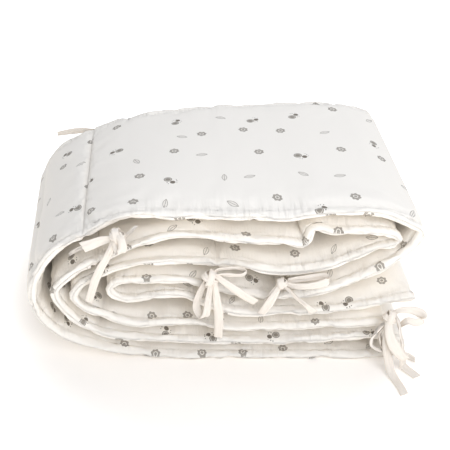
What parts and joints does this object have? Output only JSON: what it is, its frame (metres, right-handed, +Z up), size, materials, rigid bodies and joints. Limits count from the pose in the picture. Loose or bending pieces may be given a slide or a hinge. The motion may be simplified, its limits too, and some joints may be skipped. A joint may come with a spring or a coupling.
{
  "type": "crib bumper",
  "caption": "Long padded cotton crib bumper with a scattered leaf and berry print, folded in half and rolled flat into layers, with narrow cotton tape ties at its edges.",
  "frame": {"origin": "on the flat underside, below the middle of the folded strip", "axes": "+X along the layers towards the side with the strip's free ends, +Y across the strip's width away from the side with the tied ties, +Z up from the surface it rests on"},
  "size_m": [0.5474, 0.3953, 0.2502],
  "materials": {
    "printed_cotton": "matt",
    "cotton_tape": "matt"
  },
  "bodies": {
    "root": {"bumper": "printed_cotton", "tie_left": "cotton_tape", "tie_middle": "cotton_tape", "tie_inner": "cotton_tape", "tie_right": "cotton_tape", "tie_under_top": "cotton_tape", "tie_back": "cotton_tape"}
  },
  "joints": []
}
